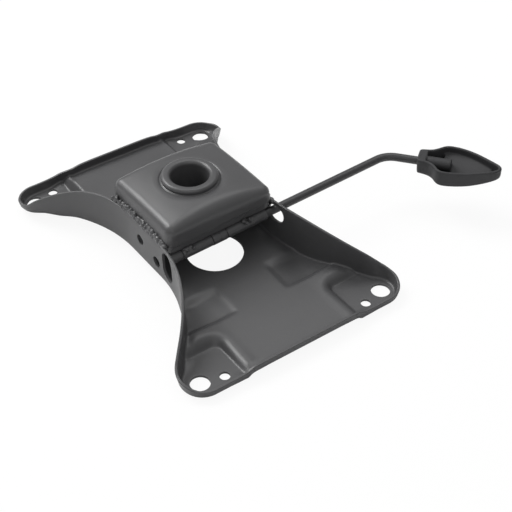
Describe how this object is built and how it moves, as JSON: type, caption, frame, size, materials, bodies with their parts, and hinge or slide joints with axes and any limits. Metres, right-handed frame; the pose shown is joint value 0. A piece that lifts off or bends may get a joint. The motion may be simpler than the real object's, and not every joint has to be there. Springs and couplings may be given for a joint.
{
  "type": "office chair seat mechanism",
  "caption": "Pressed steel seat plate with a welded column housing, a tapered gas-lift socket and a pivoting release lever with a paddle handle.",
  "frame": {"origin": "centre of the seat bolt pattern, on the face that meets the seat", "axes": "+X towards the front, +Y towards the lever, +Z out of the column socket's mouth, away from the seat"},
  "size_m": [0.264, 0.3046, 0.062],
  "materials": {
    "coated_sheet": "satin black powder coat",
    "coated_bar": "satin black powder coat",
    "coated_weld": "rough weld under black powder coat",
    "handle_plastic": "moulded, fine matt grain"
  },
  "bodies": {
    "plate": {"seat_plate": "coated_sheet", "column_housing": "coated_sheet", "taper_socket": "coated_bar", "socket_weld": "coated_weld", "housing_weld_left": "coated_weld", "housing_weld_right": "coated_weld", "bearing_sleeve_left": "coated_bar", "bearing_sleeve_right": "coated_bar", "sleeve_tack_left": "coated_weld", "sleeve_tack_right": "coated_weld"},
    "lever": {"lever_rod": "coated_bar", "end_collar": "coated_bar", "release_arm": "coated_sheet", "arm_collar": "coated_bar", "lever_handle": "handle_plastic"}
  },
  "joints": [
    {"name": "lever_pivot", "type": "hinge", "parent": "plate", "child": "lever", "pos_m": [0.0285, 0, 0.0305], "axis": [0, 0.9994, 0.0349], "range_deg": [-12, 0]}
  ]
}
